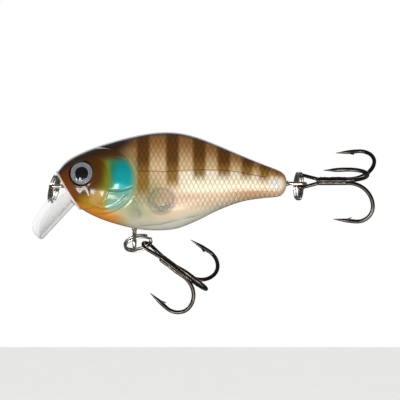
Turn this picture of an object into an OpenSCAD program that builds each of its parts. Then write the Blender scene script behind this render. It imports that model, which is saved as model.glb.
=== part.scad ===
// Shallow-running crankbait: a two-shell clear body with a scooped diving bill, a towing eye,
// two wire hangers, split rings and two brazed treble hooks. Nose at -X, tail at +X, back at +Z.
// The origin is the middle of the towing eye's hole.

/* [Body] */
// Length of the moulded body, from nose to tail
body_length = 50; // [49:0.5:52]
// Greatest half width of the body
body_half_width = 7.6; // [7.4:0.1:8]
// Wall of the moulded shells
wall = 1.2; // [1:0.1:1.3]

/* [Diving bill] */
// Length of the bill, from the mouth to its tip
bill_length = 11.2; // [11:0.1:12.5]
// Full width of the bill
bill_width = 13.2; // [12.5:0.1:14]
// Thickness of the bill's plate
bill_thick = 0.8; // [0.6:0.1:1]
// Slope of the bill below the horizontal
bill_slope = 47; // [46:1:48]

/* [Wire hangers] */
// Diameter of the hanger wire
wire_d = 0.7; // [0.6:0.05:0.7]
// Centreline radius of a hanger's eye
eye_r = 1.25; // [1.25:0.05:1.3]

/* [Split rings] */
// Centreline radius of a split ring
ring_r = 2.95; // [2.93:0.01:2.97]
// Diameter of the ring's wire
coil_d = 0.56; // [0.5:0.01:0.56]

/* [Treble hooks] */
// Diameter of the hook wire
hook_d = 0.9; // [0.8:0.05:0.9]
// Length from the middle of the hook's eye to the start of the bend
shank_length = 10.5; // [10:0.1:11]
// Radius of the first, wide part of the bend
bend_r = 5.2; // [5:0.1:5.4]
// Radius of the second, tight part of the bend
throat_r = 3.7; // [3.5:0.1:3.9]
// Length of the point, from the bend to its tip
point_length = 4.9; // [4.5:0.1:5.2]

/* [Eyes] */
// Diameter of the domed eye
eyeball_d = 5.2; // [5:0.1:5.4]
// Height of the eye's clear dome
eyeball_dome = 0.9; // [0.7:0.1:1]

/* [Weights] */
// Diameter of the rattling steel ball
ball_d = 4.5; // [4.2:0.1:4.6]
// Inner diameter of the ball's cross tunnel
tunnel_d = 5; // [4.9:0.1:5.1]
// Diameter of the keel weight
keel_d = 1.7; // [1.4:0.1:1.8]

/* [Hidden] */
$fn = 48;
k = body_length / 50;      // scale of the moulded body
seat_gap = 0.05;           // clearance round a seated piece

// Back and belly lines (x, z) and girth (share of the greatest half width), station by station
// from the mouth to the tail. A station's section joins its back point to its belly point.
back_line = [[0.33, 3.2], [2.56, 5.7], [6.1, 7.6], [10.6, 9.25], [15.6, 10.65], [21.1, 11.7],
             [26.1, 11.8], [30.6, 10.85], [35.6, 8.95], [40.7, 6.75], [45.2, 4.9], [48.6, 3.55],
             [49.9, 2.7], [50.4, 1.6]];
belly_line = [[5.26, -4.89], [7.6, -6.2], [10.6, -7.5], [14.4, -8.65], [18.4, -9.5], [22.4, -9.7],
              [26.4, -9.3], [30.6, -7.7], [35.6, -5.25], [40.7, -3.4], [45.2, -2.65], [48.6, -2.3],
              [49.8, -1.5], [50.4, -0.3]];
girth = [0.58, 0.75, 0.88, 0.96, 1, 1, 0.95, 0.85, 0.7, 0.53, 0.4, 0.31, 0.24, 0.11];
last = len(girth) - 1;
steps = 3 * last;          // sections along the shell
sides = 14;                // facets round a half section
fullness = 0.9;            // below 1 the sections are fuller than an ellipse

// Where the pieces sit: (x, z) on the mid plane
tunnel_at = k * [22.96, -3.25];
keel_at = k * [22.5, -7.3];
keel_length = 4;
belly_eye_z = -12.05 * k;
belly_eye_x = 17.15 * k;
tail_eye_x = 53.33 * k;
tail_eye_z = 0.6 * k;
bill_root = k * [4.27, -3.27];
eyeball_at = [1.63, 66.8]; // station and angle from the back, in degrees

// Rest poses of the hanging pieces
nose_ring_at = [-0.88, 2.9, -0.53];
nose_ring_turn = [0, 13, 20];
belly_ring_at = [17.76, 2.8, -12.59];
belly_ring_turn = [-30, -16.5, 0];
tail_ring_at = [53.41, 2.95, 0.11];
tail_ring_turn = [0, 2.4, -17.2];
belly_hook_at = [19.8, 5.16, -13.68];
belly_hook_turn = [22, 37, 0];
tail_hook_at = [54.24, 5.07, 1.22];
tail_hook_turn = [-103.8, 0, -16];

// ---- shared geometry ----

// Entry i of a list, or the end entry beyond its ends
function near(list, i) = list[max(0, min(len(list) - 1, i))];

// Catmull-Rom curve through a list, read at a fractional place
function curve(list, t) =
    let (i = min(floor(t), len(list) - 2), f = t - i,
         a = near(list, i - 1), b = near(list, i), c = near(list, i + 1), d = near(list, i + 2))
    b + 0.5 * f * (c - a + f * (2 * a - 5 * b + 4 * c - d + f * (3 * (b - c) + d - a)));

// Point of the +Y flank at station t and angle a from the back, sunk by inset
function flank(t, a, inset = 0) =
    let (top = k * curve(back_line, t), low = k * curve(belly_line, t),
         half = (top - low) / 2, reach = 1 - inset / norm(half),
         wide = body_half_width * k * curve(girth, t) - inset,
         p = (top + low) / 2 + half * reach * cos(a))
    [p.x, a == 0 || a == 180 ? 0 : wide * pow(sin(a), fullness), p.y];

function flank_normal(t, a) =
    let (n = cross(flank(t, a + 1) - flank(t, a - 1), flank(t + 0.05, a) - flank(t - 0.05, a)))
    -n / norm(n);

// Faces of a polyhedron turned over, which puts their outer sides outwards
function outward(faces) = [for (f = faces) [f[2], f[1], f[0]]];

// Rod between two points
module rod(p, q, d) {
    v = q - p;
    translate(p)
        rotate([0, acos(v.z / norm(v)), atan2(v.y, v.x)])
            cylinder(h = norm(v), d = d);
}

// Arc of wire in the XZ plane, centred on the origin
module arc(r, d, from, sweep)
    rotate([90, 0, 0]) rotate([0, 0, from]) rotate_extrude(angle = sweep)
        translate([r, 0]) circle(d = d);

// ---- body ----

// Closed skin of the +Y shell: outer and inner grids joined along the flat seam
module shell_skin() {
    ring = sides + 1;
    inner_from = 0.8;
    inner_to = last - 2;
    outer = [for (i = [0 : steps]) for (j = [0 : sides])
        flank(last * i / steps, 180 * j / sides)];
    inner = [for (i = [0 : steps]) for (j = [0 : sides])
        flank(inner_from + (inner_to - inner_from) * i / steps, 180 * j / sides, wall)];
    n = len(outer);
    function middle(points, i) = (points[i * ring] + points[i * ring + sides]) / 2;
    hubs = [middle(outer, 0), middle(outer, steps), middle(inner, 0), middle(inner, steps)];
    function quad(a, b, c, d) = [[a, b, c], [a, c, d]];
    grid = [for (i = [0 : steps - 1]) for (j = [0 : sides - 1])
        each quad(i * ring + j, (i + 1) * ring + j, (i + 1) * ring + j + 1, i * ring + j + 1)];
    lining = [for (f = grid) [n + f[2], n + f[1], n + f[0]]];
    end = steps * ring;
    caps = [for (j = [0 : sides - 1]) each [
        [2 * n, j, j + 1], [2 * n + 1, end + j + 1, end + j],
        [2 * n + 2, n + j + 1, n + j], [2 * n + 3, n + end + j, n + end + j + 1]]];
    seam = [for (i = [0 : steps - 1]) each concat(
        quad(i * ring, n + i * ring, n + (i + 1) * ring, (i + 1) * ring),
        quad(i * ring + sides, (i + 1) * ring + sides, n + (i + 1) * ring + sides,
             n + i * ring + sides))];
    ends = concat(
        quad(2 * n, 2 * n + 2, n, 0), quad(2 * n, sides, n + sides, 2 * n + 2),
        quad(2 * n + 1, end, n + end, 2 * n + 3),
        quad(2 * n + 1, 2 * n + 3, n + end + sides, end + sides));
    polyhedron(concat(outer, inner, hubs), outward(concat(grid, lining, caps, seam, ends)),
               convexity = 6);
}

// Post from the seam to the wall, at (x, z)
module post(at, d, to) translate([at.x, 0, at.y]) rotate([-90, 0, 0]) cylinder(h = to, d = d);

module half_body() {
    tunnel_wall = 0.4;
    tunnel_end = 4.8 * k;
    post_d = 2 * eye_r - wire_d - 2 * seat_gap;
    difference() {
        union() {
            shell_skin();
            post(tunnel_at, tunnel_d + 2 * tunnel_wall, tunnel_end + 0.6);
            post([anchor_x(), 0], post_d, 5 * k);
            post([belly_eye_x, anchor_z()], post_d, 4 * k);
            post([tail_anchor_x(), tail_eye_z], post_d, 2 * k);
        }
        translate([0, -0.01, 0]) post(tunnel_at, tunnel_d, tunnel_end);
        eyeball_frame() translate([0, 0, -0.55]) cylinder(h = 3, d = eyeball_d + 2 * seat_gap);
        bill_plug(seat_gap);
        hanger_channels();
    }
}

// Channels through the wall for the hangers' twisted necks
module hanger_channels() {
    d = neck_d() + 2 * seat_gap;
    rod([eye_rear(tie_straight), 0, 0], [anchor_x() - eye_r, 0, 0], d);
    rod([belly_eye_x, 0, belly_eye_z + eye_rear(hanger_straight)],
        [belly_eye_x, 0, anchor_z() - eye_r], d);
    rod([tail_eye_x - eye_rear(hanger_straight), 0, tail_eye_z],
        [tail_anchor_x() + eye_r, 0, tail_eye_z], d);
}

module body_left() color("tan", 0.6) mirror([0, 1, 0]) half_body();
module body_right() color("tan", 0.6) half_body();

// ---- diving bill ----

module bill_frame() translate([bill_root.x, 0, bill_root.y])
    rotate([0, 180 - bill_slope, 0]) mirror([0, 0, 1]) children();

// Half width of the bill at a distance s from the mouth: it flares, then ends bluntly
function bill_half(s) =
    let (root_half = 4.1, flare = min(1, s / (0.55 * bill_length)),
         corner = max(0, (s - 0.65 * bill_length) / (0.35 * bill_length)))
    (root_half + (bill_width / 2 - root_half) * sin(90 * flare)) *
        pow(max(0, 1 - pow(corner, 3.2)), 1 / 3.2);

// The scoop is tight at the mouth and opens out towards the tip
function bill_rise(s, y) = y * y * (0.06 + 0.097 * exp(-s / 4));

// Scooped plate in the bill's frame: +X towards the tip, +Z towards the towing eye
module bill_plate() {
    rows = 26;
    cols = 16;
    w = cols + 1;
    n = (rows + 1) * w;
    face_lean = 0.28;      // the mouth's face leans back against the bill
    function place(i, j, up) =
        let (s = bill_length * sin(90 * i / rows),
             y = max(0.25, bill_half(s)) * (2 * j / cols - 1), rise = bill_rise(s, y))
        [s - face_lean * rise * (1 - s / bill_length), y, rise + up];
    function quad(a, b, c, d) = [[a, b, c], [a, c, d]];
    upper = [for (i = [0 : rows - 1]) for (j = [0 : cols - 1])
        each quad(i * w + j, i * w + j + 1, (i + 1) * w + j + 1, (i + 1) * w + j)];
    rim = concat(
        [for (j = [0 : cols - 1]) j], [for (i = [0 : rows - 1]) i * w + cols],
        [for (j = [cols : -1 : 1]) rows * w + j], [for (i = [rows : -1 : 1]) i * w]);
    polyhedron(
        [for (up = [bill_thick / 2, -bill_thick / 2]) for (i = [0 : rows]) for (j = [0 : cols])
            place(i, j, up)],
        concat(
            upper,
            [for (f = upper) [n + f[2], n + f[1], n + f[0]]],
            [for (m = [0 : len(rim) - 1]) let (p = rim[m], q = rim[(m + 1) % len(rim)])
                each quad(q, p, n + p, n + q)]),
        convexity = 4);
}

module diving_bill() color("white", 0.35) bill_frame() {
    bill_plate();
    plug();
}

// Tongue of the bill that seats in the mouth
module plug(extra = 0) translate([-2.6 - extra, -2.4 - extra, -0.7 - extra])
    cube([3.2 + 2 * extra, 4.8 + 2 * extra, 1.4 + 2 * extra]);

module bill_plug(extra) bill_frame() plug(extra);

// ---- wire hangers ----

hanger_straight = 1.25;    // straight part of a hook hanger's eye
tie_straight = 0.6;        // straight part of the towing eye
function neck_d() = 1.6 * wire_d;
function eye_rear(straight) = straight + eye_r;
function anchor_x() = 7.3 * k;
function anchor_z() = -6.2 * k;
function tail_anchor_x() = 46.5 * k;

// Racetrack eye in the XY plane with its tip at -X and the tip's arc centred on the origin
module long_eye(straight) {
    rotate([-90, 0, 0]) arc(eye_r, wire_d, 90, 180);
    translate([straight, 0, 0]) rotate([-90, 0, 0]) arc(eye_r, wire_d, -90, 180);
    for (y = [-eye_r, eye_r]) rod([0, y, 0], [straight, y, 0], wire_d);
}

// Figure-eight hanger: a long eye outside, a twisted neck, and a round eye across it that is
// held on the shells' post, at a distance reach from the tip's arc
module hanger(straight, reach) {
    long_eye(straight);
    rod([eye_rear(straight), 0, 0], [reach - eye_r, 0, 0], neck_d());
    translate([reach, 0, 0]) arc(eye_r, wire_d, 0, 360);
}

module line_tie() color("silver") hanger(tie_straight, anchor_x());
module belly_hanger() color("silver") translate([belly_eye_x, 0, belly_eye_z])
    rotate([0, -90, 0]) hanger(hanger_straight, anchor_z() - belly_eye_z);
module tail_hanger() color("silver") translate([tail_eye_x, 0, tail_eye_z])
    mirror([1, 0, 0]) hanger(hanger_straight, tail_eye_x - tail_anchor_x());

// ---- split rings ----

// Split ring about the Z axis: two coils of wire pressed side by side
module split_ring() color("gainsboro") rotate_extrude($fn = 72)
    for (z = [-1, 1]) translate([ring_r, 0.48 * coil_d * z]) circle(d = coil_d);

module nose_ring() translate(nose_ring_at) rotate(nose_ring_turn) rotate([0, 90, 0]) split_ring();
module belly_ring() translate(belly_ring_at) rotate(belly_ring_turn) split_ring();
module tail_ring() translate(tail_ring_at) rotate(tail_ring_turn) rotate([0, 90, 0]) split_ring();

// ---- treble hooks ----
// A hook's frame has its eye's middle at the origin and its shank along +X.

hook_eye_r = 1.42;         // centreline radius of the hook's eye
hook_eye_d = 0.75;         // wire of the eye, a little thinner than the shank
join_x = 3.1;              // where the eye's sides meet the shank
bundle_r = hook_d / sqrt(3) + 0.01;
point_lean = 6;            // degrees that the point leans in

// Wire from the shank round the bend to the point, opening towards +Z
module hook_arm(from) {
    rod([from, 0, 0], [shank_length, 0, 0], hook_d);
    translate([shank_length, 0, bend_r]) arc(bend_r, hook_d, -90, 90);
    translate([shank_length + bend_r - throat_r, 0, bend_r]) {
        arc(throat_r, hook_d, 0, 90 + point_lean);
        rotate([0, -90 - point_lean, 0]) translate([throat_r, 0, 0]) point();
    }
}

// Straight run, needle tip and barb, along +Z, with the shank's side towards -X
module point() {
    tip = 0.08;
    run = 0.35 * point_length;
    barb_at = 0.62 * point_length;
    cylinder(h = run, d = hook_d);
    translate([0, 0, run]) cylinder(h = point_length - run, d1 = hook_d, d2 = tip);
    rotate([90, 0, 0]) linear_extrude(0.3, center = true)
        polygon([[0, barb_at + 1], [-0.62, barb_at - 0.75], [0, barb_at - 0.4]]);
}

// One wire that forms the eye and two arms, 60 degrees either side of +Z
module hook_double() color("dimgray") {
    for (side = [-1, 1]) rotate([60 * side, 0, 0]) translate([0, 0, bundle_r]) hook_arm(join_x - 0.35);
    translate([0, 0, bundle_r / 2]) {
        half = bundle_r * sin(60);
        reach = norm([join_x, half]);
        open = atan2(half, join_x) + acos(hook_eye_r / reach);
        rotate([-90, 0, 0]) arc(hook_eye_r, hook_eye_d, open, 360 - 2 * open);
        for (side = [-1, 1]) {
            from = hook_eye_r * [cos(open), side * sin(open), 0];
            to = [join_x, side * half, 0];
            rod(from - 0.02 * (to - from), to, hook_eye_d + 0.03);
        }
    }
}

module hook_single() color("dimgray") rotate([180, 0, 0]) translate([0, 0, bundle_r]) {
    nose = 0.5;
    hook_arm(join_x + nose);
    translate([join_x, 0, 0]) rotate([0, 90, 0]) cylinder(h = nose, d1 = 0.4, d2 = hook_d);
}

// Filler metal that fills the grooves between the three shanks
module hook_braze() color("gray") difference() {
    rod([join_x + 0.8, 0, 0], [shank_length - 0.4, 0, 0], 1.5);
    for (turn = [60, 180, 300]) rotate([turn, 0, 0]) translate([0, 0, bundle_r])
        rod([0, 0, 0], [shank_length + 1, 0, 0], hook_d + 0.01);
}

module belly_hook_frame() translate(belly_hook_at) rotate(belly_hook_turn) children();
module tail_hook_frame() translate(tail_hook_at) rotate(tail_hook_turn) children();

module belly_hook_double() belly_hook_frame() hook_double();
module belly_hook_single() belly_hook_frame() hook_single();
module belly_hook_braze() belly_hook_frame() hook_braze();
module tail_hook_double() tail_hook_frame() hook_double();
module tail_hook_single() tail_hook_frame() hook_single();
module tail_hook_braze() tail_hook_frame() hook_braze();

// ---- eyes ----

// Frame on the +Y flank with +Z outwards, halfway between the surface's normal and the side
module eyeball_frame() {
    n = (flank_normal(eyeball_at[0], eyeball_at[1]) + [0, 1, 0]) / 2;
    translate(flank(eyeball_at[0], eyeball_at[1]))
        rotate([0, acos(n.z / norm(n)), atan2(n.y, n.x)]) children();
}

foil_t = 0.2;
module eye_foil() color("black") eyeball_frame() translate([0, 0, -0.5])
    cylinder(h = foil_t, d = eyeball_d);
module eye_lens() color("lightblue", 0.5) eyeball_frame() translate([0, 0, -0.5 + foil_t]) {
    rim = 0.25;
    r = (pow(eyeball_d / 2, 2) + pow(eyeball_dome, 2)) / (2 * eyeball_dome);
    cylinder(h = rim, d = eyeball_d);
    translate([0, 0, rim]) intersection() {
        translate([0, 0, eyeball_dome - r]) sphere(r = r, $fn = 96);
        cylinder(h = 2 * eyeball_dome, d = eyeball_d);
    }
}
module eye_foil_right() eye_foil();
module eye_lens_right() eye_lens();
module eye_foil_left() mirror([0, 1, 0]) eye_foil();
module eye_lens_left() mirror([0, 1, 0]) eye_lens();

// ---- weights ----

module rattle_ball() color("slategray") translate([tunnel_at.x, 0, tunnel_at.y - 0.1])
    sphere(d = ball_d);
module keel_weight() color("peru") translate([keel_at.x, 0, keel_at.y]) {
    rod([-keel_length / 2, 0, 0], [keel_length / 2, 0, 0], keel_d);
    for (x = [-1, 1]) translate([x * keel_length / 2, 0, 0]) sphere(d = keel_d);
}

body_left();
body_right();
diving_bill();
line_tie();
belly_hanger();
tail_hanger();
nose_ring();
belly_ring();
tail_ring();
belly_hook_double();
belly_hook_single();
belly_hook_braze();
tail_hook_double();
tail_hook_single();
tail_hook_braze();
eye_lens_left();
eye_foil_left();
eye_lens_right();
eye_foil_right();
rattle_ball();
keel_weight();
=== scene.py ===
import math

import bpy
import numpy as np
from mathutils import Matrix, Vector


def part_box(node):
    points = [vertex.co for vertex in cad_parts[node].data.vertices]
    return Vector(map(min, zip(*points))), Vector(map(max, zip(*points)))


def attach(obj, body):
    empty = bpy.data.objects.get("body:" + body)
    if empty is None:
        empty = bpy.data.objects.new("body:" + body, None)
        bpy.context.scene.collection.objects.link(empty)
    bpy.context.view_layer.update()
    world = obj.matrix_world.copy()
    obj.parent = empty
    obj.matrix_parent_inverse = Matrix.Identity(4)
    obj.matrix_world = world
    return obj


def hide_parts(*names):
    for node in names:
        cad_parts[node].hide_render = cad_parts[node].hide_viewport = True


MM = 0.001
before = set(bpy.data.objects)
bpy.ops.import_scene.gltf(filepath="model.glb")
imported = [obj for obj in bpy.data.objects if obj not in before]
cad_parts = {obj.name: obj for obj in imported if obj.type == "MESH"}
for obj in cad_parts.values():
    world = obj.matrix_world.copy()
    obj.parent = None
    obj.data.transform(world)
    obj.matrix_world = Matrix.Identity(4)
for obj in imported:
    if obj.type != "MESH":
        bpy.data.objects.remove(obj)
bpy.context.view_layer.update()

# ---- design values, in millimetres ----

BACK = [[0.33, 3.2], [2.56, 5.7], [6.1, 7.6], [10.6, 9.25], [15.6, 10.65], [21.1, 11.7],
        [26.1, 11.8], [30.6, 10.85], [35.6, 8.95], [40.7, 6.75], [45.2, 4.9], [48.6, 3.55],
        [49.9, 2.7], [50.4, 1.6]]
BELLY = [[5.26, -4.89], [7.6, -6.2], [10.6, -7.5], [14.4, -8.65], [18.4, -9.5], [22.4, -9.7],
         [26.4, -9.3], [30.6, -7.7], [35.6, -5.25], [40.7, -3.4], [45.2, -2.65], [48.6, -2.3],
         [49.8, -1.5], [50.4, -0.3]]
GIRTH = [0.58, 0.75, 0.88, 0.96, 1, 1, 0.95, 0.85, 0.7, 0.53, 0.4, 0.31, 0.24, 0.11]
LAST = len(GIRTH) - 1
HALF_WIDTH = 7.6           # half of the body's greatest width
FULLNESS = 0.9             # 1 is an oval section, less is fuller
WALL = 1.2                 # thickness of a shell
COLUMNS = 440              # sections along each shell
ROWS = 192                 # facets round each half section, outside
INNER_ROWS = 16            # and inside

BALL_R = 2.25
BALL_CLEARANCE = 0.1       # the ball rests this far below the tunnel's middle
TUNNEL_BORE_R = 2.5
TUNNEL_WALL = 0.4
TUNNEL_DEPTH = 5.4         # from the seam to the tunnel's end
SEAM_GAP = 0.02
LIP_R = 0.26               # bead round the mouth
WIRE_D = 0.8               # a little over the bare wire, for its plating and polish
EYE_LOOP_R = 1.25          # both eyes of each hanger
TWIST_R = 0.3              # of the neck's two wires about each other
TWIST_TURNS = 1.5
RING_R = 2.95              # split ring's wire, from its middle
COIL_D = 0.58
HOOK_D = 0.9
HOOK_LOOP_R = 1.42         # treble's eye
HOOK_LOOP_D = 0.75
JOIN_X = 3.1               # where the eye's two sides meet the shank
SHANK = 10.5
BEND_R = 5.2               # bend next to the shank
THROAT_R = 3.7             # bend next to the point
POINT = 4.9
POINT_LEAN = 6             # degrees that the point leans in
BRAZE_R = 0.8              # mean radius of the braze round the shanks
BUNDLE_R = HOOK_D / math.sqrt(3) + 0.01        # three shanks round one line
EYEBALL_R = 2.6
EYEBALL_DOME = 0.9         # rise of the dome
FOIL_T = 0.2
BEZEL_WIDTH = 0.13         # how far the black bezel reaches past the foil
BILL_SLOPE = 47            # degrees down from level
BILL_LENGTH = 11.2
BILL_HALF = 6.6            # half of its greatest width
BILL_ROOT_HALF = 4.1       # half of its width at the mouth
BILL_THICK = 0.8
TONGUE_SIZE = (3.2, 4.8, 1.4)
TONGUE_IN = 2.6            # how far the tongue reaches into the mouth

# Rest turns of the hanging pieces, in degrees about X, Y and Z
TURNS = {"nose_ring": (0, 13, 20), "belly_ring": (-30, -16.5, 0), "tail_ring": (0, 2.4, -17.2),
         "belly_hook": (22, 37, 0), "tail_hook": (-103.8, 0, -16)}


def middle(node):
    """Middle of a CAD node's box, in millimetres."""
    low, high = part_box(node)
    return np.array((low + high) / 2) / MM


def smooth(start, end, value):
    """0 before start, 1 after end, with soft shoulders. start may be the larger."""
    f = np.clip((value - start) / (end - start), 0, 1)
    return f * f * (3 - 2 * f)


def bump(value, width):
    """1 at 0, falling off within about width."""
    return np.exp(-(value / width) ** 2)


# ---- mesh helpers ----

def turned(points, degrees):
    """Points turned about X, then Y, then Z."""
    a, b, c = np.radians(degrees)
    rx = np.array([[1, 0, 0], [0, math.cos(a), -math.sin(a)], [0, math.sin(a), math.cos(a)]])
    ry = np.array([[math.cos(b), 0, math.sin(b)], [0, 1, 0], [-math.sin(b), 0, math.cos(b)]])
    rz = np.array([[math.cos(c), -math.sin(c), 0], [math.sin(c), math.cos(c), 0], [0, 0, 1]])
    return np.asarray(points) @ (rz @ ry @ rx).T


def grid_faces(rows, columns, start=0, flip=False, closed=False):
    """Quads of a grid of rows by columns points, closed round each row if asked."""
    faces = []
    for i in range(rows - 1):
        for j in range(columns if closed else columns - 1):
            a = start + i * columns + j
            b = start + i * columns + (j + 1) % columns
            quad = (a, b, b + columns, a + columns)
            faces.append(quad[::-1] if flip else quad)
    return faces


def sweep(path, radius, sides=22):
    """Round wire along a path, with a radius at each point and capped ends."""
    path = np.asarray(path, float)
    radius = np.broadcast_to(radius, len(path))
    along = np.gradient(path, axis=0)
    along /= np.linalg.norm(along, axis=1)[:, None]
    side = np.cross(along[0], [0.31, 0.52, 0.79])
    points = []
    for p, t, r in zip(path, along, radius):
        side = side - t * side.dot(t)
        side /= np.linalg.norm(side)
        up = np.cross(t, side)
        turn = 2 * math.pi * np.arange(sides) / sides
        points.append(p + r * (np.cos(turn)[:, None] * side + np.sin(turn)[:, None] * up))
    faces = grid_faces(len(path), sides, closed=True)
    faces.append(tuple(range(sides - 1, -1, -1)))
    end = (len(path) - 1) * sides
    faces.append(tuple(range(end, end + sides)))
    return np.concatenate(points), faces


def lathe(profile, sides=96):
    """Surface of revolution about Z through (radius, height) points, from the axis to the axis."""
    points = [[0, 0, profile[0][1]]]
    for r, h in profile[1:-1]:
        for j in range(sides):
            turn = 2 * math.pi * j / sides
            points.append([r * math.cos(turn), r * math.sin(turn), h])
    points.append([0, 0, profile[-1][1]])
    rings = len(profile) - 2
    faces = grid_faces(rings, sides, start=1, closed=True)
    top = len(points) - 1
    for j in range(sides):
        faces.append((0, 1 + (j + 1) % sides, 1 + j))
        faces.append((top, top - sides + j, top - sides + (j + 1) % sides))
    return np.array(points), faces


def joined(parts):
    """One point array, one face list and the material number of each face."""
    points, faces, kinds = [], [], []
    for part in parts:
        shift = sum(len(p) for p in points)
        points.append(np.asarray(part[0]))
        faces += [tuple(v + shift for v in face) for face in part[1]]
        kinds += [part[2] if len(part) > 2 else 0] * len(part[1])
    return np.concatenate(points), faces, kinds


def piece(name, parts, materials, body, replaced, seat=None):
    """A smooth-shaded piece in place of CAD nodes. seat is the node whose box it is moved onto."""
    points, faces, kinds = joined(parts)
    if seat:
        points = points + middle(seat) - (points.min(0) + points.max(0)) / 2
    mesh = bpy.data.meshes.new(name)
    mesh.from_pydata(points * MM, [], faces)
    for m in materials:
        mesh.materials.append(m)
    mesh.polygons.foreach_set("material_index", kinds)
    mesh.polygons.foreach_set("use_smooth", [True] * len(faces))
    mesh.set_sharp_from_angle(angle=math.radians(40))
    obj = bpy.data.objects.new(name, mesh)
    bpy.context.scene.collection.objects.link(obj)
    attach(obj, body)
    if replaced:
        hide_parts(*replaced)
    return obj


# ---- materials ----

def rgb(r, g, b):
    """Linear colour from 0-255 display values."""
    c = np.array([r, g, b]) / 255
    return tuple(np.where(c <= 0.04045, c / 12.92, ((c + 0.055) / 1.055) ** 2.4)) + (1.0,)


class Finish:
    """A node material and short ways to add nodes to it."""

    def __init__(self, name, **values):
        self.material = bpy.data.materials.new(name)
        self.material.use_nodes = True
        self.tree = self.material.node_tree
        self.shader = self.tree.nodes["Principled BSDF"]
        self.place = self.node("ShaderNodeTexCoord").outputs["Object"]
        for socket, value in values.items():
            self.shader.inputs[socket.replace("_", " ")].default_value = value

    def node(self, kind, inputs=(), **settings):
        made = self.tree.nodes.new(kind)
        for key, value in settings.items():
            setattr(made, key, value)
        for key, value in dict(inputs).items():
            if isinstance(value, bpy.types.NodeSocket):
                self.tree.links.new(value, made.inputs[key])
            else:
                made.inputs[key].default_value = value
        return made

    def noise(self, per_mm, detail=3.0, roughness=0.5, place=None):
        """Noise with about per_mm features to the millimetre."""
        return self.node("ShaderNodeTexNoise", {
            "Vector": place or self.place, "Scale": per_mm / MM, "Detail": detail,
            "Roughness": roughness}).outputs["Fac"]

    def math(self, operation, a, b=0.0, clamp=False):
        made = self.node("ShaderNodeMath", {0: a, 1: b}, operation=operation)
        made.use_clamp = clamp
        return made.outputs[0]

    def span(self, value, low, high):
        """A 0-1 value stretched to low-high."""
        return self.node("ShaderNodeMapRange", {
            "Value": value, "To Min": low, "To Max": high}).outputs["Result"]

    def mix(self, share, a, b, blend="MIX"):
        made = self.node("ShaderNodeMix", data_type="RGBA", blend_type=blend)
        for number, value in ((0, share), (6, a), (7, b)):
            if isinstance(value, bpy.types.NodeSocket):
                self.tree.links.new(value, made.inputs[number])
            else:
                made.inputs[number].default_value = value
        return made.outputs[2]

    def mask(self, name):
        return self.node("ShaderNodeAttribute", attribute_name=name).outputs["Fac"]

    def set(self, socket, value):
        self.tree.links.new(value, self.shader.inputs[socket])

    def bump(self, height, strength, distance):
        self.set("Normal", self.node("ShaderNodeBump", {
            "Height": height, "Strength": strength, "Distance": distance * MM}).outputs[0])


def plated(name, dark, light, rough):
    """Plated wire with fine drawing marks and slight tarnish."""
    f = Finish(name, Metallic=1.0)
    tarnish = f.noise(0.6, 4)
    fine = f.noise(9, 2)
    f.set("Base Color", f.mix(f.span(tarnish, -0.3, 1.3), dark, light))
    f.set("Roughness", f.span(f.noise(3, 4), rough * 0.6, rough * 1.5))
    f.bump(fine, 0.02, 0.005)
    return f.material


def paint_finish():
    """Airbrushed coats over clear plastic, under a glossy clear coat."""
    f = Finish("airbrushed_shell", Specular_IOR_Level=0.1, Coat_Weight=1.0, Coat_Roughness=0.11,
               Coat_IOR=1.46)
    spray = f.noise(6, 5, 0.65)
    cloud = f.noise(0.25, 4)
    colour = LAYERS[0][1]
    for name, tint, _ in LAYERS[1:]:
        grain = f.span(spray, -0.22, 0.22)
        share = f.mask(name)
        edge = f.math("MULTIPLY", share, f.math("SUBTRACT", 1.0, share))
        share = f.math("ADD", share, f.math("MULTIPLY", edge, f.math("MULTIPLY", grain, 4.0)), True)
        colour = f.mix(share, colour, tint)
    colour = f.mix(f.span(cloud, 0.0, 0.3), colour, rgb(232, 218, 196), "MULTIPLY")
    colour = f.mix(f.math("MULTIPLY", f.mask("scale_line"), 0.55), colour, rgb(150, 118, 78), "MULTIPLY")
    f.set("Base Color", colour)
    pearl = f.mask("shimmer")
    flake = f.node("ShaderNodeTexVoronoi", {"Vector": f.place, "Scale": 5 / MM}).outputs["Distance"]
    f.set("Metallic", f.math("MULTIPLY", pearl, f.span(flake, 0.6, 0.25)))
    f.set("Roughness", f.span(spray, 0.26, 0.4))
    f.set("Alpha", f.math("SUBTRACT", 1.0, f.math("MULTIPLY", f.mask("clear"), f.span(cloud, 0.8, 1.0))))
    f.bump(flake, 0.05, 0.02)
    return f.material


def clear_finish(name, solid, tint, rough=0.06, coat=1.0):
    """Clear plastic with faint flow lines, denser towards its edges. solid is its least cover."""
    f = Finish(name, Base_Color=tint, Coat_Weight=coat, Coat_Roughness=0.03, IOR=1.5)
    f.set("Roughness", f.span(f.noise(1.5, 3), rough, rough * 2.5))
    facing = f.node("ShaderNodeLayerWeight", {"Blend": 0.4}).outputs["Facing"]
    edge = f.math("MULTIPLY", facing, facing)
    flow = f.span(f.noise(0.5, 3), 0.75, 1.25)
    f.set("Alpha", f.math("MULTIPLY", f.math("ADD", solid, f.math("MULTIPLY", edge, 0.8)), flow, True))
    f.bump(f.noise(0.4, 2), 0.03, 0.1)
    return f.material


def dome_finish():
    """Clear eye dome: next to no colour of its own, and a hard shine."""
    f = Finish("clear_dome", Specular_IOR_Level=1.0, Coat_Weight=1.0, Coat_IOR=2.0, Coat_Roughness=0.02)
    f.set("Base Color", f.mix(f.noise(0.5, 2), rgb(18, 20, 24), rgb(40, 42, 46)))
    f.set("Roughness", f.span(f.noise(1.5, 3), 0.02, 0.06))
    f.set("Alpha", f.span(f.noise(0.3, 2), 0.14, 0.22))
    return f.material


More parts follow.
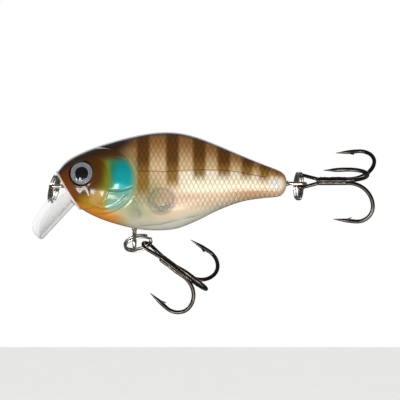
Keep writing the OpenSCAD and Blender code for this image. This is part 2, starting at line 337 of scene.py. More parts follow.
def foil_finish(name, centre):
    """Black pupil, silver holographic iris and a black rim, by the distance from the middle."""
    f = Finish(name, Specular_IOR_Level=0.15)
    away = f.node("ShaderNodeVectorMath", {0: f.place, 1: Vector(centre * MM)}, operation="DISTANCE")
    ring = f.math("DIVIDE", away.outputs["Value"], EYEBALL_R * MM)
    facets = f.node("ShaderNodeTexVoronoi", {"Vector": f.place, "Scale": 1.9 / MM})
    hue = f.math("FRACT", f.math("ADD", facets.outputs["Color"], f.math("MULTIPLY", ring, 1.3)))
    colours = f.node("ShaderNodeValToRGB", {"Fac": hue})
    stops = [(0.0, rgb(150, 160, 166)), (0.2, rgb(60, 150, 215)), (0.34, rgb(176, 184, 188)),
             (0.5, rgb(222, 120, 90)), (0.64, rgb(150, 156, 156)), (0.8, rgb(80, 190, 140)),
             (1.0, rgb(190, 196, 214))]
    while len(colours.color_ramp.elements) < len(stops):
        colours.color_ramp.elements.new(0.5)
    for element, (at, tint) in zip(colours.color_ramp.elements, stops):
        element.position = at
        element.color = tint
    hues = f.mix(f.span(f.noise(2.2, 1), -0.5, 1.4), rgb(186, 192, 196), colours.outputs[0])
    shade = f.mix(f.span(facets.outputs["Distance"], 0.0, 0.8), hues,
                  rgb(206, 210, 214), "MULTIPLY")
    pupil = f.node("ShaderNodeMapRange", {"Value": ring, "From Min": 0.55, "From Max": 0.57})
    rim = f.node("ShaderNodeMapRange", {"Value": ring, "From Min": 0.92, "From Max": 0.95})
    iris = f.mix(rim.outputs[0], shade, rgb(16, 14, 13))
    f.set("Base Color", f.mix(pupil.outputs[0], rgb(8, 7, 7), iris))
    silver = f.math("MULTIPLY", pupil.outputs[0], f.math("SUBTRACT", 1.0, rim.outputs[0]))
    f.set("Metallic", f.math("MULTIPLY", silver, 0.15))
    f.set("Roughness", f.span(facets.outputs["Distance"], 0.2, 0.45))
    f.bump(facets.outputs["Distance"], 0.3, 0.05)
    return f.material


# ---- body surface ----

def curve(points, t):
    """Catmull-Rom curve through points, read at fractional places t."""
    points = np.asarray(points, float).reshape(len(points), -1)
    i = np.minimum(np.floor(t).astype(int), len(points) - 2)
    f = (t - i)[..., None]
    a, b, c, d = (points[np.clip(i + step, 0, len(points) - 1)] for step in (-1, 0, 1, 2))
    return b + 0.5 * f * (c - a + f * (2 * a - 5 * b + 4 * c - d + f * (3 * (b - c) + d - a)))


def flank(t, a, inset=0.0):
    """Points of the +Y flank at station t and angle a from the back, sunk by inset."""
    t, a = np.broadcast_arrays(np.asarray(t, float), np.asarray(a, float))
    top, low = curve(BACK, t), curve(BELLY, t)
    half = (top - low) / 2
    reach = 1 - inset / np.linalg.norm(half, axis=-1)
    wide = HALF_WIDTH * curve(GIRTH, t)[..., 0] - inset
    p = (top + low) / 2 + half * (reach * np.cos(a))[..., None]
    return np.stack([p[..., 0], wide * np.abs(np.sin(a)) ** FULLNESS, p[..., 1]], -1)


def normals(points):
    """Outward unit normals of a grid of flank points."""
    n = np.cross(np.gradient(points, axis=1), np.gradient(points, axis=0))
    n /= np.maximum(np.linalg.norm(n, axis=-1), 1e-9)[..., None]
    return n * np.where(n[..., 1:2].mean() < 0, -1, 1)


VIEW_DISTANCE = 243.7      # the camera's distance from the lure's middle plane
VIEW_MIDDLE = (31.51, -3.03)       # x and z that the camera faces


def side_view(points):
    """Side view x and z of flank points, seen in perspective."""
    nearer = VIEW_DISTANCE / (VIEW_DISTANCE - points[..., 1])
    x, z = VIEW_MIDDLE
    return x + (points[..., 0] - x) * nearer, z + (points[..., 2] - z) * nearer


SCALE_W = 1.04             # a scale's width along the body
SCALE_H = 2.0              # and its height
GILL = (9.8, 1.15, 7.33, 7.1)      # gill plate: middle x and z, half length and half height
CHEEK = (6.0, 1.0, 5.3, 6.0)
# Bars: start and end along the body, height where each fades, and over how much
BARS = [(17.7, 20.4, -1.8, 2.4), (24.1, 26.8, 0.2, 1.7), (30.0, 32.7, 1.8, 1.2),
        (35.4, 38.1, 2.2, 1.2), (40.9, 43.3, 2.0, 1.2), (45.0, 47.2, 1.4, 1.4)]
LATERAL = [[17.6, 3.4], [23.8, 3.2], [30.4, 3.65], [36.8, 3.6], [40.3, 3.1], [45.0, 2.2]]


def belly_edge(x):
    """Height of the inner wall's edge, seen through the clear belly."""
    return np.interp(x, [18.0, 22.8, 25.6, 31.2, 46.0], [-8.7, -8.4, -7.6, -6.4, -3.4])


def outside(oval, x, z):
    """Rough distance outside an oval, negative inside."""
    cx, cz, rx, rz = oval
    return (np.hypot((x - cx) / rx, (z - cz) / rz) - 1) * (rx + rz) / 2


def spot(x, z, at_x, at_z, half_x, half_z):
    """Distance from a middle, 1 on an oval round it."""
    return np.hypot((x - at_x) / half_x, (z - at_z) / half_z)


def lateral_height(x):
    return np.interp(x, *np.transpose(LATERAL))


def lateral_line(x, z):
    """1 on the lateral line."""
    return bump(z - lateral_height(x), 0.12) * smooth(17.4, 18.2, x) * smooth(46.5, 45.5, x)


def scale_lines(x, z):
    """1 on the engraved lines between the diamond scales."""
    apart = 1 / math.hypot(1 / SCALE_W, 1 / SCALE_H)
    lines = 0
    for way in (1, -1):
        u = x / SCALE_W + way * z / SCALE_H
        lines = np.maximum(lines, bump((u - np.round(u)) * apart, 0.11))
    reach = smooth(0.2, 0.9, outside(GILL, x, z)) * smooth(16, 17.5, x) * smooth(49.6, 48.6, x)
    return lines * reach * smooth(-5.2, -3.2, z + 0.06 * (x - 20))


SCALE_DEPTH = 0.045
LATERAL_DEPTH = 0.07
SOCKET_DEPTH = 0.95
PATCH = (14.1, 2.5, 2.7, 3.6)      # raised teal patch
RIDGE = (10.6, 0.0, 5.2, 4.6)      # lower ridge of the gill plate


def relief(x, z, eye_gap, lines):
    """Height of the moulded detail over the plain flank, in millimetres."""
    gill, cheek = outside(GILL, x, z), outside(CHEEK, x, z)
    # Gill plate and cheek: raised, with a groove round each
    rear = smooth(8, 11, x)
    up = 0.2 * smooth(0.32, -0.2, gill) * rear - 0.1 * bump(gill - 0.35, 0.25) * rear
    lobe = smooth(5.2, 7.6, x) * smooth(7.2, 5.4, z)
    up = up + 0.22 * smooth(0.25, -0.35, cheek) * lobe - 0.14 * bump(cheek - 0.35, 0.2) * lobe
    up = up + 0.3 * smooth(0.3, -2.2, outside(PATCH, x, z))
    # Fold under the patch, crease over it, and the ridge below
    fold = -0.7 + 0.127 * (x - 11.3) - 0.55 * np.sin(np.pi * np.clip((x - 11.3) / 5.6, 0, 1))
    between = smooth(11.0, 11.6, x) * smooth(17.1, 16.6, x)
    up = up - 0.16 * bump(z - fold, 0.17) * between + 0.1 * bump(z - fold + 0.45, 0.35) * between
    crease = 6.45 - 0.25 * (x - 12.3)
    up = up - 0.12 * bump(z - crease, 0.15) * smooth(11.8, 12.4, x) * smooth(16.1, 15.4, x)
    ridge = outside(RIDGE, x, z)
    up = up + 0.16 * bump(ridge, 0.3) * smooth(-1.2, -2.4, z) * smooth(7.6, 9.0, x)
    up = up - SCALE_DEPTH * lines - LATERAL_DEPTH * lateral_line(x, z)
    # Eye socket with a soft lip
    socket = smooth(EYEBALL_R + 0.12, EYEBALL_R - 0.02, eye_gap)
    lip = bump(eye_gap - EYEBALL_R - 0.3, 0.22)
    return up * (1 - socket) - SOCKET_DEPTH * socket + 0.07 * lip


# Paint coats in the order they are sprayed, with a painted highlight and painted shade among them: name,
# colour, and how much of each lies at side view x and z. c runs from 1 along the back to -1 along the
# belly.
LAYERS = [
    ("flank_tan", rgb(204, 178, 138), None),
    ("first_gap_green", rgb(158, 160, 122),
     lambda x, z, c: smooth(25, 19, x) * smooth(5, -2, z)),
    ("belly_beige", rgb(204, 178, 146),
     lambda x, z, c: smooth(0.4, -1.6, z) * smooth(19, 26, x)),
    ("belly_grey", rgb(190, 186, 164),
     lambda x, z, c: smooth(-0.62, -0.86, c) * smooth(13, 18, x)),
    ("belly_clear", rgb(206, 206, 194),
     lambda x, z, c: 0.8 * smooth(0.2, -0.5, z - belly_edge(x)) * smooth(17, 21, x) * smooth(46, 38, x)),
    ("belly_line", rgb(112, 110, 92),
     lambda x, z, c: 0.6 * bump(z - belly_edge(x), 0.13) *
     smooth(17.5, 19, x) * smooth(32.5, 30, x) * (1 - bump(x - 27.6, 1.2))),
    ("pearl", rgb(246, 238, 214),
     lambda x, z, c: smooth(22.5, 30, x) * smooth(50.0, 49.0, x) *
     smooth(0.5, -0.9, z - lateral_height(x)) *
     smooth(-2.4, -0.4, z - 0.06 * np.maximum(x - 32, 0)) * (0.75 + 0.25 * smooth(44, 34, x))),
    ("tail_beige", rgb(176, 148, 112),
     lambda x, z, c: 0.7 * smooth(34, 44, x) * smooth(0.2, -1.3, z)),
    # Painted highlight: a bluish-white glint on the tail
    ("tail_glint", rgb(226, 232, 240),
     lambda x, z, c: 0.8 * bump(spot(x, z, 48.2, 0.4, 1.1, 0.8), 1.0)),
    ("gill_shadow_green", rgb(100, 134, 92),
     lambda x, z, c: 0.75 * smooth(19.0, 17.2, x) * smooth(-6, -3, z) * smooth(8.6, 6.5, z)),
    ("lower_olive", rgb(148, 142, 96),
     lambda x, z, c: 0.7 * bump(spot(x, z, 19.5, -1.6, 3.6, 3.4), 1.0)),
    ("back_amber", rgb(158, 114, 64),
     lambda x, z, c: smooth(0.22, 0.8, c) * smooth(12, 17, x)),
    ("bar_gold", rgb(128, 92, 8),
     lambda x, z, c: bars(x, z, False)),
    ("bar_brown", rgb(92, 56, 20),
     lambda x, z, c: 0.92 * bars(x, z, True)),
    ("tail_orange", rgb(140, 90, 42),
     lambda x, z, c: 0.8 * smooth(46.5, 48.5, x) * smooth(2.0, 3.0, z)),
    ("tail_spot", rgb(178, 118, 70),
     lambda x, z, c: 0.6 * bump(spot(x, z, 42.5, -1.6, 6, 1), 0.75)),
    ("back_dark", rgb(70, 44, 26),
     lambda x, z, c: 0.9 * smooth(0.86, 0.99, c)),
    ("gill_aqua", rgb(104, 150, 128),
     lambda x, z, c: inside(GILL, x, z) * smooth(9.5, 11.5, x)),
    ("gill_green", rgb(34, 112, 66),
     lambda x, z, c: bump(spot(x, z, 12.9, 3.4, 3.4, 4.8), 1.0) * inside(GILL, x, z)),
    ("teal", rgb(0, 146, 150),
     lambda x, z, c: smooth(1.35, 0.5, spot(x, z, 14.7, 2.3, 2.3, 3.6)) *
     smooth(0.1, -0.3, outside(GILL, x, z))),
    ("cheek_lime", rgb(108, 126, 16),
     lambda x, z, c: smooth(12.7, 11.2, x + 0.12 * np.abs(z - 2)) * smooth(8.6, 6, z)),
    ("cheek_olive", rgb(98, 80, 4),
     lambda x, z, c: smooth(11.8, 9.8, x) * smooth(-3.0, 0.6, z)),
    ("cheek_gold", rgb(158, 120, 20),
     lambda x, z, c: smooth(11.2, 9.6, x) * smooth(0.2, -1.8, z)),
    ("head_brown", rgb(76, 42, 4),
     lambda x, z, c: np.maximum(smooth(6.6, 4.2, np.hypot(x - 5.0, (z - 3.4) * 0.95)),
                                smooth(17.5, 13, x) * smooth(4.8, 6.8, z))),
    ("nose_red", rgb(104, 50, 4),
     lambda x, z, c: smooth(4.4, 1.8, x - 0.35 * (3 - z))),
    ("throat_orange", rgb(200, 128, 34),
     lambda x, z, c: smooth(-0.5, -0.8, c) * smooth(16.5, 11.5, x)),
    ("head_dark", rgb(44, 28, 16),
     lambda x, z, c: smooth(0.62, 0.9, c) * smooth(19.5, 14, x)),
    # Painted on the clear flank where the ball shows through: the ball's dark crescent as painted shade,
    # and a darker ring over its tunnel's edge
    ("ball_shade", rgb(92, 88, 66),
     lambda x, z, c: 0.85 * smooth(2.5, 1.9, np.hypot(x - 23.2, z + 3.45)) *
     smooth(1.3, 2.1, np.hypot(x - 23.0, z + 2.6)) * smooth(-3.2, -4.6, z)),
    ("tunnel_ring", rgb(126, 122, 94),
     lambda x, z, c: 0.42 * bump(np.hypot(x - 23.1, z + 3.3) - 2.75, 0.3)),
    # Laid along the mouth's edge by shell()
    ("mouth_rim", rgb(214, 204, 190), None),
]


def inside(oval, x, z):
    """1 inside an oval, with a soft edge."""
    return smooth(0.3, -0.5, outside(oval, x, z))


def bars(x, z, brown):
    """The flank's vertical bars: gold all the way down, with brown over their upper part.
    Their ends follow the scales."""
    share = 0
    row = np.round(x / SCALE_W + z / SCALE_H) - np.round(x / SCALE_W - z / SCALE_H)
    z = z + 0.45 * (row * SCALE_H / 2 - z)
    for start, end, low, fade in BARS:
        lean = 0.12 * (6 - z) if start > 40 else 0.0
        across = smooth(start - 0.5, start + 0.5, x + lean) * smooth(end + 0.5, end - 0.5, x + lean)
        if brown:
            top = max(low + fade, 2.2)
            down = smooth(top, top + (4 if start < 35 else 2.2), z)
        else:
            down = 0.92 * smooth(low - fade, low + fade, z)
        share = np.maximum(share, across * down)
    return share


def eye_frame():
    """Middle of the +Y eye's foil, and its axis: halfway between the flank's normal and straight out."""
    foil = middle("eye_foil_right")
    t, a = np.meshgrid(np.linspace(0.5, 2.5, 81), np.linspace(0.6, 1.8, 81), indexing="ij")
    skin = flank(t, a)
    near = np.argmin(np.hypot(skin[..., 0] - foil[0], skin[..., 2] - foil[2]))
    n = normals(skin).reshape(-1, 3)[near]
    axis = n + np.array([0, 1, 0])
    return foil, axis / np.linalg.norm(axis)


def shell(side, name, node):
    """One closed shell half with its moulded detail, and how much of each paint coat lies where."""
    t, a = np.meshgrid(np.linspace(0, LAST, COLUMNS + 1), np.linspace(0, np.pi, ROWS + 1),
                       indexing="ij")
    plain = flank(t, a)
    out = normals(plain)
    foil, axis = eye_frame()
    offset = plain - foil
    eye_gap = np.linalg.norm(offset - (offset @ axis)[..., None] * axis, axis=-1)
    x, z, c = side_view(plain) + (np.cos(a),)
    seam = smooth(0.0, 0.12, np.sin(a))
    ends = smooth(0, 0.35, t) * smooth(LAST, LAST - 0.4, t)
    lines = scale_lines(x, z) * smooth(0.97, 0.8, c)
    outer = plain + out * (relief(x, z, eye_gap, lines) * seam * ends)[..., None]
    outer[:, 0, 1] = outer[:, -1, 1] = 0
    thinned = slice(None, None, ROWS // INNER_ROWS)
    inner = flank(0.8 + (LAST - 2.8) * t[:, thinned] / LAST, a[:, thinned], WALL)
    inner[:, 0, 1] = inner[:, -1, 1] = 0
    count = (COLUMNS + 1) * (ROWS + 1)
    hub = count + (COLUMNS + 1) * (INNER_ROWS + 1)
    hubs = [(g[i, 0] + g[i, -1]) / 2 for g in (outer, inner) for i in (0, -1)]
    points = np.concatenate([outer.reshape(-1, 3), inner.reshape(-1, 3), hubs])
    w, v = ROWS + 1, INNER_ROWS + 1
    end, inner_end = COLUMNS * w, count + COLUMNS * v
    flip = side < 0
    faces = grid_faces(COLUMNS + 1, w, flip=not flip)
    skin_faces = len(faces)
    caps = []
    for j in range(ROWS):
        caps += [(hub, j + 1, j), (hub + 1, end + j, end + j + 1)]
    painted = skin_faces + len(caps)
    for j in range(INNER_ROWS):
        caps += [(hub + 2, count + j, count + j + 1), (hub + 3, inner_end + j + 1, inner_end + j)]
    for i in range(COLUMNS):
        p, q = i * w, (i + 1) * w
        r, s = count + i * v, count + (i + 1) * v
        caps += [(p, q, s, r), (p + ROWS, r + INNER_ROWS, s + INNER_ROWS, q + ROWS)]
    faces += [f if not flip else f[::-1] for f in caps]
    faces += grid_faces(COLUMNS + 1, v, start=count, flip=flip)
    kinds = [0] * painted + [1] * (len(faces) - painted)
    points[:, 1] *= side
    obj = piece(name, [(points, faces)], [PAINT, LINING], "lure", [node])
    obj.data.polygons.foreach_set("material_index", kinds)
    fields = {coat: place(x, z, c) for coat, _, place in LAYERS if place}
    fields["mouth_rim"] = smooth(0.1, 0.03, t)
    fields["scale_line"] = np.maximum(lines, 1.6 * lateral_line(x, z))
    fields["shimmer"] = np.maximum(0.55 * fields["pearl"] * (1 - fields["bar_brown"]),
                                   0.6 * fields["teal"])
    well = middle("rattle_ball")
    belly = 0.22 * smooth(-4.5, -8, z) * smooth(15, 19, x) * smooth(47, 30, x)
    window = 0.34 * smooth(3.8, 2.6, np.hypot(x - well[0], z - well[2])) * smooth(1.0, -2.0, z)
    post = 0.45 * bump(spot(x, z, 17.6, -6.0, 1.7, 1.6), 1.0)
    fields["clear"] = np.maximum(np.maximum(belly, window), post)
    for key, values in fields.items():
        layer = obj.data.attributes.new(key, "FLOAT", "POINT")
        full = np.zeros(len(points), np.float32)
        full[:count] = np.broadcast_to(values, x.shape).reshape(-1)
        layer.data.foreach_set("value", full)
    return obj


def tunnel(side, name):
    """Half of the clear cross tunnel that the rattle ball runs in."""
    at = middle("rattle_ball") + [0, 0, BALL_CLEARANCE]
    inner, outer = TUNNEL_BORE_R, TUNNEL_BORE_R + TUNNEL_WALL
    section = [(inner, SEAM_GAP), (outer, SEAM_GAP), (outer, TUNNEL_DEPTH), (inner, TUNNEL_DEPTH)]
    points, faces = [], []
    sides = 72
    for r, y in section:
        for j in range(sides):
            turn = 2 * math.pi * j / sides
            points.append([at[0] + r * math.cos(turn), side * y, at[2] + r * math.sin(turn)])
    for i in range(len(section)):
        for j in range(sides):
            a, b = i * sides + j, i * sides + (j + 1) % sides
            k = (i + 1) % len(section) * sides
            c, d = k + (j + 1) % sides, k + j
            faces.append((a, b, c, d) if side > 0 else (d, c, b, a))
    return piece(name, [(np.array(points), faces)], [TUNNEL], "lure", [])


def steel_ball():
    """Rattle ball, smooth all over."""
    turn = np.linspace(0, np.pi, 49)
    profile = list(zip(BALL_R * np.sin(turn), -BALL_R * np.cos(turn)))
    piece("steel_rattle_ball", [lathe(profile, 72)], [STEEL], "rattle", ["rattle_ball"],
          seat="rattle_ball")


def lip(side, name):
    """Rounded edge of clear plastic round the mouth."""
    path = flank(np.full(60, 0.02), np.linspace(0, np.pi, 60)) * [1, side, 1]
    path[0, 1] = path[-1, 1] = 0
    return piece(name, [sweep(path, LIP_R, 12)], [LIP], "lure", [])


# ---- diving bill ----

def bill():
    """Scooped clear paddle with rounded edges and its tongue in the mouth."""
    rows, columns = 90, 64
    s = BILL_LENGTH * np.sin(np.linspace(0, np.pi / 2, rows + 1))
    corner = np.clip((s - 0.65 * BILL_LENGTH) / (0.35 * BILL_LENGTH), 0, 1)
    flare = np.sin(np.pi / 2 * np.clip(s / (0.55 * BILL_LENGTH), 0, 1))
    half = BILL_ROOT_HALF + (BILL_HALF - BILL_ROOT_HALF) * flare
    half = np.maximum(half * (1 - corner ** 3.2) ** (1 / 3.2), 0.25)
    v = np.sin(np.linspace(-np.pi / 2, np.pi / 2, columns + 1))
    y = half[:, None] * v[None, :]
    rise = y * y * (0.06 + 0.097 * np.exp(-s / 4))[:, None]
    run = s[:, None] - 0.28 * rise * (1 - s / BILL_LENGTH)[:, None]
    edge = np.minimum(half[:, None] * (1 - np.abs(v))[None, :], (BILL_LENGTH - s)[:, None])
    round_r = 0.25         # of the rounded edges
    thick = BILL_THICK / 2 - round_r * (1 - np.sqrt(1 - (1 - np.clip(edge / round_r, 0, 1)) ** 2))
    top = np.stack([run, y, rise + thick], -1).reshape(-1, 3)
    low = np.stack([run, y, rise - thick], -1).reshape(-1, 3)
    w, n = columns + 1, len(top)
    faces = grid_faces(rows + 1, w, flip=True) + grid_faces(rows + 1, w, start=n)
    rim = list(range(columns)) + [i * w + columns for i in range(rows)]
    rim += [rows * w + j for j in range(columns, 0, -1)] + [i * w for i in range(rows, 0, -1)]
    for p, q in zip(rim, rim[1:] + rim[:1]):
        faces.append((p, q, n + q, n + p))
    length, width, height = TONGUE_SIZE
    tongue = np.array([[i * length - TONGUE_IN, j * width - width / 2, k * height - height / 2]
                       for k in (0, 1) for j in (0, 1) for i in (0, 1)])
    blocks = [(0, 2, 3, 1), (4, 5, 7, 6), (0, 1, 5, 4), (2, 6, 7, 3), (0, 4, 6, 2), (1, 3, 7, 5)]
    parts = [(np.concatenate([top, low]), faces), (tongue, blocks)]
    turned_parts = []
    for points, shape in parts:
        flipped = points * [1, 1, -1]
        turned_parts.append((turned(flipped, (0, 180 - BILL_SLOPE, 0)), [f[::-1] for f in shape]))
    return piece("scooped_bill", turned_parts, [BILL_CLEAR], "lure",
                 ["diving_bill"], seat="diving_bill")


# ---- wire, rings and hooks ----

def arc(r, start, end, steps):
    """Points of an arc in the XY plane, in degrees."""
    turn = np.radians(np.linspace(start, end, steps))
    return np.stack([r * np.cos(turn), r * np.sin(turn), 0 * turn], -1)


def hanger(name, node, straight, reach, place):
    """Figure-eight wire: a long eye, a twisted neck and a round eye across it."""
    rear = straight + EYE_LOOP_R
    ahead = reach - EYE_LOOP_R
    f = np.linspace(0, 1, 60)
    twist = []
    for way in (0, np.pi):
        turn = way + 2 * np.pi * TWIST_TURNS * f
        twist.append(np.stack([rear - 0.2 + (ahead - rear + 0.4) * f, TWIST_R * np.cos(turn),
                               TWIST_R * np.sin(turn)], -1))
    loop = np.concatenate([[[straight + EYE_LOOP_R * 0.98, 0.2, 0]],
                           arc(EYE_LOOP_R, 12, 90, 16) + [straight, 0, 0],
                           arc(EYE_LOOP_R, 90, 270, 44),
                           arc(EYE_LOOP_R, 270, 348, 16) + [straight, 0, 0],
                           [[straight + EYE_LOOP_R * 0.98, -0.2, 0]]])
    inner = arc(EYE_LOOP_R, 0, 360, 60)[:, [0, 2, 1]] + [reach, 0, 0]
    parts = [sweep(loop, WIRE_D / 2, 20), sweep(inner, WIRE_D / 2, 16)]
    parts += [sweep(path, WIRE_D / 2 * 0.8, 14) for path in twist]
    return piece(name, [(place(p), f) for p, f in parts], [NICKEL], "lure",
                 [node], seat=node)


def split_ring(node, name):
    """Two touching coils of one wire, with a crossover and two cut ends."""
    h = 0.48 * COIL_D
    turn = np.linspace(0, 4 * np.pi - 0.62, 300)
    lift = -h + 2 * h * smooth(2 * np.pi - 0.5, 2 * np.pi + 0.02, turn)
    path = np.stack([RING_R * np.cos(turn), RING_R * np.sin(turn), lift], -1)
    points, faces = sweep(path, COIL_D / 2, 18)
    if node != "belly_ring":
        points = turned(points, (0, 90, 0))
    return piece(name, [(turned(points, TURNS[node]), faces)], [RING_NICKEL], node,
                 [node], seat=node)


def arm_path():
    """Wire from the shank round the bend to the needle tip, opening towards +Z."""
    shank = np.stack([np.linspace(JOIN_X + 0.6, SHANK - 0.15, 24)] + [np.zeros(24)] * 2, -1)
    wide = arc(BEND_R, -90, 0, 40)[:, [0, 2, 1]] + [SHANK, 0, BEND_R]
    middle_x = SHANK + BEND_R - THROAT_R
    tight = arc(THROAT_R, 4, 90 + POINT_LEAN, 36)[:, [0, 2, 1]] + [middle_x, 0, BEND_R]
    lean = math.radians(POINT_LEAN)
    way = np.array([-math.cos(lean), 0, -math.sin(lean)])
    run = tight[-1] + way * (POINT * np.linspace(0.03, 1, 40))[:, None]
    path = np.concatenate([shank, wide, tight, run])
    radius = np.full(len(path), HOOK_D / 2)
    f = np.linspace(0, 1, 40)
    radius[-40:] = HOOK_D / 2 * (1 - smooth(0.25, 1.25, f) * 1.04) + 0.02
    return path, np.maximum(radius, 0.035), tight[-1], way


def barb(base, way):
    """Barb cut up from the needle, on the shank's side."""
    across = np.array([-way[2], 0, way[0]])
    if across[2] > 0:
        across = -across
    outline = [(0.56, 0.26), (0.36, 0.50), (0.22, 0.84), (0.16, 0.88), (0.22, 0.56), (0.26, 0.28)]
    points = []
    for y in (-0.14, 0.14):
        for along, out in outline:
            points.append(base + way * along * POINT + across * out + [0, y * (1.5 - along), 0])
    n = len(outline)
    faces = [tuple(range(n - 1, -1, -1)), tuple(range(n, 2 * n))]
    faces += [(i, (i + 1) % n, n + (i + 1) % n, n + i) for i in range(n)]
    return np.array(points), faces


def arm_parts(turn):
    path, radius, base, way = arm_path()
    lift = np.array([0, 0, BUNDLE_R])
    spike = barb(base, way)
    return (turned(path + lift, (turn, 0, 0)), radius,
            (turned(spike[0] + lift, (turn, 0, 0)), spike[1]))


def double_hook(which):
    """One wire: tip, bend, shank, eye, shank, bend and tip again."""
    first, radius, spike_a = arm_parts(60)
    second, _, spike_b = arm_parts(-60)
    half = BUNDLE_R * math.sin(math.radians(60))
    open_at = math.degrees(math.atan2(half, JOIN_X) +
                           math.acos(HOOK_LOOP_R / math.hypot(JOIN_X, half)))
    loop = arc(HOOK_LOOP_R, open_at, 360 - open_at, 70) + [0, 0, BUNDLE_R / 2]
    if first[0][1] * loop[0][1] < 0:
        loop = loop[::-1]
    path = np.concatenate([first[::-1], loop, second])
    thin = HOOK_LOOP_D / 2
    radii = np.concatenate([radius[::-1], np.full(len(loop), thin), radius])
    for _ in range(3):
        start, stop = len(first) - 12, len(first) + len(loop) + 12
        before, after = radii[start - 1:stop - 1], radii[start + 1:stop + 1]
        radii[start:stop] = (before + radii[start:stop] + after) / 3
    parts = [sweep(path, radii, 24), spike_a, spike_b]
    node = which + "_double"
    return piece(which + "_double_wire", seated_turn(parts, which), [BLACK_NICKEL], which,
                 [node], seat=node)


def single_hook(which):
    path, radius, spike = arm_parts(180)
    radius = radius.copy()
    radius[:6] *= np.linspace(0.55, 1, 6)
    node = which + "_single"
    return piece(which + "_single_wire", seated_turn([sweep(path, radius, 24), spike], which),
                 [BLACK_NICKEL], which, [node], seat=node)


def braze(which):
    """Run of braze that has flowed into the grooves between the three shanks."""
    start, stop, steps, sides = JOIN_X + 0.5, SHANK - 0.1, 60, 36
    points = []
    for i in range(steps + 1):
        f = i / steps
        shoulder = min(1, 10 * f, 14 * (1 - f)) ** 0.5
        ripple = 0.03 * math.sin(11 * f + 0.7) + 0.02 * math.sin(29 * f)
        for j in range(sides):
            turn = 2 * math.pi * j / sides
            lobe = 0.14 * math.cos(3 * (turn - math.pi / 2))
            r = (BRAZE_R + lobe + ripple) * (0.55 + 0.45 * shoulder)
            points.append([start + (stop - start) * f, r * math.cos(turn), r * math.sin(turn)])
    faces = grid_faces(steps + 1, sides, closed=True)
    faces += [tuple(range(sides - 1, -1, -1)), tuple(range(steps * sides, (steps + 1) * sides))]
    return piece(which + "_braze_run", seated_turn([(np.array(points), faces)], which), [BRAZE],
                 which, [which + "_braze"], seat=which + "_braze")


def seated_turn(parts, which):
    return [(turned(p, TURNS[which]), f) for p, f in parts]


# ---- eyes ----

def eye(side, label):
    """Foil disc with a raised black bezel, and the clear dome over it."""
    foil, axis = eye_frame()
    centre = foil * [1, side, 1]
    axis = axis * [1, side, 1]
    turn = Vector((0, 0, 1)).rotation_difference(Vector(axis)).to_matrix()

    def put(points):
        return np.asarray(points) @ np.array(turn).T + centre

    r = EYEBALL_R
    disc = lathe([(0, -FOIL_T / 2), (r * 0.99, -FOIL_T / 2), (r, 0), (r * 0.98, FOIL_T / 2),
                  (r * 0.58, FOIL_T / 2 - 0.02), (r * 0.55, FOIL_T / 2 + 0.02), (0, FOIL_T / 2 + 0.02)])
    bezel_in, bezel_out = r * 0.955, r + BEZEL_WIDTH
    ring = [(bezel_in, 0.1), (bezel_in, 0.36), (bezel_in + 0.07, 0.44), (bezel_out - 0.06, 0.44),
            (bezel_out, 0.36), (bezel_out, -0.5), (bezel_in, -0.5)]
    sides = 96
    points, faces = [], []
    for rr, h in ring:
        for j in range(sides):
            a = 2 * math.pi * j / sides
            points.append([rr * math.cos(a), rr * math.sin(a), h])
    for i in range(len(ring)):
        for j in range(sides):
            a, b = i * sides + j, i * sides + (j + 1) % sides
            k = (i + 1) % len(ring) * sides
            faces.append((a, k + j, k + (j + 1) % sides, b))
    finish = foil_finish("holographic_foil_" + label, centre)
    piece("eye_disc_" + label, [(put(disc[0]), disc[1], 0), (put(points), faces, 1)],
          [finish, BEZEL], "lure", ["eye_foil_" + label])
    sphere_r = (r * r + EYEBALL_DOME ** 2) / (2 * EYEBALL_DOME)
    top = EYEBALL_DOME + 0.25
    profile = [(0, 0.1), (r * 0.94, 0.1), (r * 0.95, 0.3)]
    for step in np.linspace(0, 1, 18)[1:-1]:
        rr = r * 0.95 * math.cos(step * math.pi / 2)
        profile.append((rr, top - sphere_r + math.sqrt(sphere_r ** 2 - rr ** 2)))
    profile.append((0, top))
    dome = lathe(profile)
    piece("eye_dome_" + label, [(put(dome[0]), dome[1])], [DOME_CLEAR], "lure",
          ["eye_lens_" + label])


# ---- finishes and pieces ----

PAINT = paint_finish()
LINING = clear_finish("clear_lining", 0.05, rgb(226, 222, 205))
TUNNEL = clear_finish("clear_tunnel", 0.5, rgb(120, 116, 96), 0.35, 0.0)
LIP = clear_finish("clear_lip", 0.55, rgb(226, 220, 208))
BILL_CLEAR = clear_finish("clear_bill", 0.07, rgb(214, 215, 210))
DOME_CLEAR = dome_finish()
NICKEL = plated("polished_nickel", rgb(176, 172, 164), rgb(232, 228, 220), 0.14)
RING_NICKEL = plated("spring_nickel", rgb(172, 168, 160), rgb(228, 224, 216), 0.14)
BLACK_NICKEL = plated("black_nickel", rgb(58, 53, 50), rgb(96, 89, 84), 0.16)
BRAZE = plated("plated_braze", rgb(70, 63, 57), rgb(118, 108, 98), 0.22)
STEEL = plated("ball_steel", rgb(84, 82, 74), rgb(116, 114, 104), 0.8)
BRASS = plated("keel_brass", rgb(150, 96, 56), rgb(196, 140, 92), 0.3)
BEZEL = plated("bezel_black", rgb(14, 12, 11), rgb(26, 22, 20), 0.3)

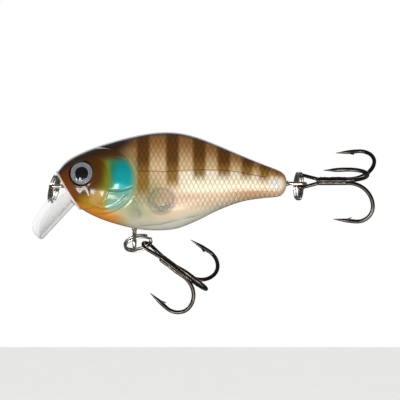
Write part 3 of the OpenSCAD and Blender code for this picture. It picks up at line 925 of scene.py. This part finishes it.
shell(-1, "left_shell", "body_left")
shell(1, "right_shell", "body_right")
tunnel(-1, "left_tunnel")
tunnel(1, "right_tunnel")
lip(-1, "left_mouth_lip")
lip(1, "right_mouth_lip")
bill()
hanger("towing_eye", "line_tie", 0.6, 7.3, lambda p: p)
hanger("belly_wire", "belly_hanger", 1.25, 5.85, lambda p: turned(p, (0, -90, 0)))
hanger("tail_wire", "tail_hanger", 1.25, 6.83, lambda p: turned(p, (0, 0, 180)))
split_ring("nose_ring", "nose_split_ring")
split_ring("belly_ring", "belly_split_ring")
split_ring("tail_ring", "tail_split_ring")
for hook in ("belly_hook", "tail_hook"):
    double_hook(hook)
    single_hook(hook)
    braze(hook)
eye(-1, "left")
eye(1, "right")
steel_ball()
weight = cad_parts["keel_weight"]
weight.data.materials.clear()
weight.data.materials.append(BRASS)

# ---- stage: pale floor, soft light and the camera ----

FLOOR_DROP = 0.3           # metres below the lure, like the rest of the stage
FLOOR_HALF = 2.0
LURE_MIDDLE = (0.0285, 0.0, 0.0)
BACKDROP = 1.0             # strength of the white that the camera sees
ROOM_LIGHT = 0.11          # and of the white that lights the lure


def pale_floor():
    """Flat pale floor that glows a little, so it stays as white as the backdrop."""
    finish = Finish("pale_floor", Roughness=0.8, Emission_Strength=0.7)
    paper = finish.mix(finish.noise(0.02, 3), rgb(250, 250, 249), rgb(254, 254, 253))
    finish.set("Base Color", paper)
    finish.set("Emission Color", paper)
    mesh = bpy.data.meshes.new("floor")
    h = FLOOR_HALF
    mesh.from_pydata([(-h, -h, 0), (h, -h, 0), (h, h, 0), (-h, h, 0)], [], [(0, 1, 2, 3)])
    mesh.materials.append(finish.material)
    obj = bpy.data.objects.new("floor", mesh)
    bpy.context.scene.collection.objects.link(obj)
    obj.location = (0, 0, -FLOOR_DROP)
    obj.visible_glossy = False     # its own glow would wash out the painted belly
    obj.visible_diffuse = False


def softbox(name, size, place, power, diffuse=True, glossy=True):
    """Soft lamp facing the lure, lighting matt surfaces, shiny ones or both."""
    light = bpy.data.lights.new(name, "AREA")
    light.shape = "RECTANGLE"
    light.size, light.size_y = size
    light.energy = power
    obj = bpy.data.objects.new(name, light)
    bpy.context.scene.collection.objects.link(obj)
    obj.location = place
    obj.rotation_euler = (Vector(LURE_MIDDLE) - Vector(place)).to_track_quat("-Z", "Y").to_euler()
    obj.visible_camera = False
    obj.visible_diffuse = diffuse
    obj.visible_glossy = glossy
    return obj


pale_floor()

softbox("front_fill", (0.5, 0.5), (0.03, -0.60, 0.06), 3.6, glossy=False)
softbox("rear_fill", (0.5, 0.5), (0.03, 0.60, 0.20), 2.6, glossy=False)
softbox("low_fill", (0.6, 0.5), (0.03, -0.22, -0.28), 1.5)
softbox("left_strip", (0.03, 0.09), (-0.19, -0.16, -0.10), 0.14, diffuse=False)
softbox("left_window", (0.07, 0.07), (-0.09, -0.21, -0.10), 0.22, diffuse=False)
softbox("low_window", (0.16, 0.08), (0.10, -0.20, -0.20), 0.20, diffuse=False)
softbox("rim_light", (0.8, 0.3), (0.03, 0.50, 0.25), 0.9, diffuse=False)

bpy.context.scene.view_settings.view_transform = "Standard"
world = bpy.data.worlds.new("studio")
bpy.context.scene.world = world
world.use_nodes = True
sky = world.node_tree
path = sky.nodes.new("ShaderNodeLightPath")
strength = sky.nodes.new("ShaderNodeMapRange")
strength.inputs["To Min"].default_value = ROOM_LIGHT
strength.inputs["To Max"].default_value = BACKDROP
sky.links.new(path.outputs["Is Camera Ray"], strength.inputs["Value"])
sky.links.new(strength.outputs["Result"], sky.nodes["Background"].inputs["Strength"])
sky.nodes["Background"].inputs["Color"].default_value = (1, 1, 1, 1)

camera_data = bpy.data.cameras.new("camera")
camera_data.lens = 100
camera_data.sensor_width = 36
camera_data.clip_start = 0.01
camera = bpy.data.objects.new("camera", camera_data)
bpy.context.scene.collection.objects.link(camera)
camera.location = Vector((VIEW_MIDDLE[0], -VIEW_DISTANCE, VIEW_MIDDLE[1])) * MM
camera.rotation_euler = (math.radians(90), 0, 0)
bpy.context.scene.camera = camera
